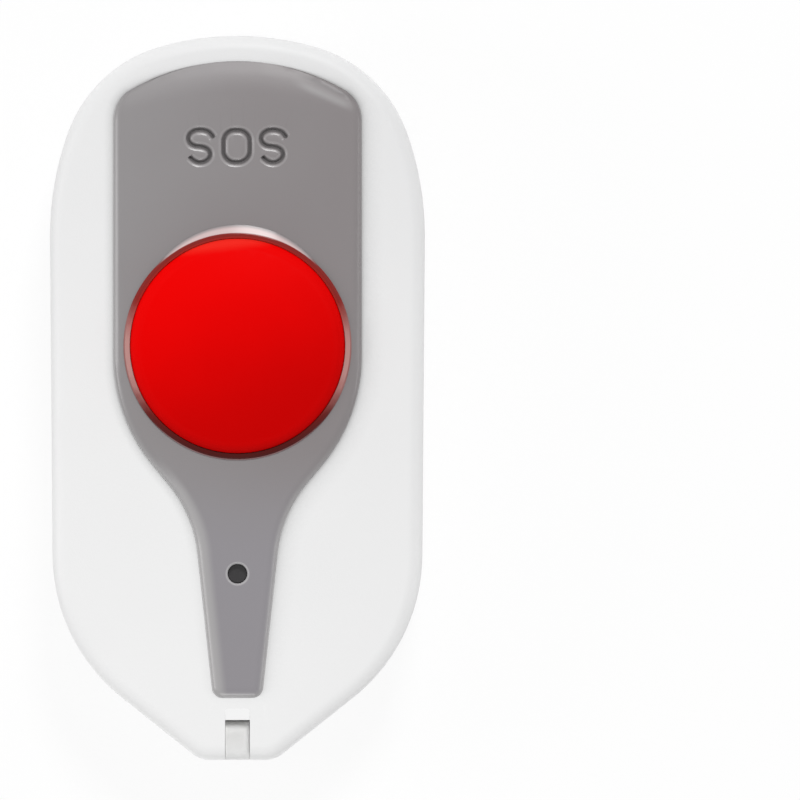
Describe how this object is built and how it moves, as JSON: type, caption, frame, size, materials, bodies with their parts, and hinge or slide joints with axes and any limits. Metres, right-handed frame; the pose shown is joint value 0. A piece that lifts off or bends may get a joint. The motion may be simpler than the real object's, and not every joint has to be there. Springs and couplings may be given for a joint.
{
  "type": "wireless panic button",
  "caption": "Pocket pendant in two plastic shells, with a grey face insert, a round red thumb button, an indicator hole and a cord eye in its nose.",
  "frame": {"origin": "centre of the back, on the surface that the pendant lies on", "axes": "+Z out of the face, the way the button is seen; +Y to the rounded end, away from the cord eye; +X to the right"},
  "size_m": [0.0352, 0.068, 0.0137],
  "materials": {
    "white_shell": "fine matt moulded white",
    "grey_insert": "satin moulded grey",
    "clear_collar": "polished translucent",
    "red_button": "satin moulded red",
    "silicone": "moulded silicone",
    "steel": "plated steel",
    "inner_plastic": "moulded black plastic",
    "dark_guide": "smoked clear acrylic",
    "board": "glass-fibre board with green solder mask",
    "tin": "tinned metal",
    "led": "clear resin on a white base",
    "chip_black": "moulded epoxy",
    "capacitor": "fired ceramic"
  },
  "bodies": {
    "pendant": {"front_housing": "white_shell", "rear_cover": "white_shell", "face_insert": "grey_insert", "button_collar": "clear_collar", "button_membrane": "silicone", "light_guide": "dark_guide", "circuit_board": "board", "switch_base": "inner_plastic", "switch_leads": "tin", "switch_cover": "steel", "switch_dome": "steel", "status_led": "led", "radio_chip": "chip_black", "clock_crystal": "steel", "chip_capacitors": "capacitor", "antenna": "tin", "battery_clip": "steel", "cell_contact": "tin", "coin_cell": "steel"},
    "button": {"button_cap": "red_button"},
    "plunger": {"switch_plunger": "inner_plastic"}
  },
  "joints": [
    {"name": "button_press", "type": "slide", "parent": "pendant", "child": "button", "axis": [0, 0, -1], "range_m": [0, 0.0005], "stiffness_N_per_m": 2000, "springref_m": -0.0005, "deforming": ["button_membrane"]},
    {"name": "plunger_press", "type": "slide", "parent": "pendant", "child": "plunger", "axis": [0, 0, -1], "range_m": [0, 0.00025], "deforming": ["switch_dome"]}
  ],
  "couplings": [
    {"joint": "plunger_press", "follows": "button_press", "ratio": 0.5}
  ]
}
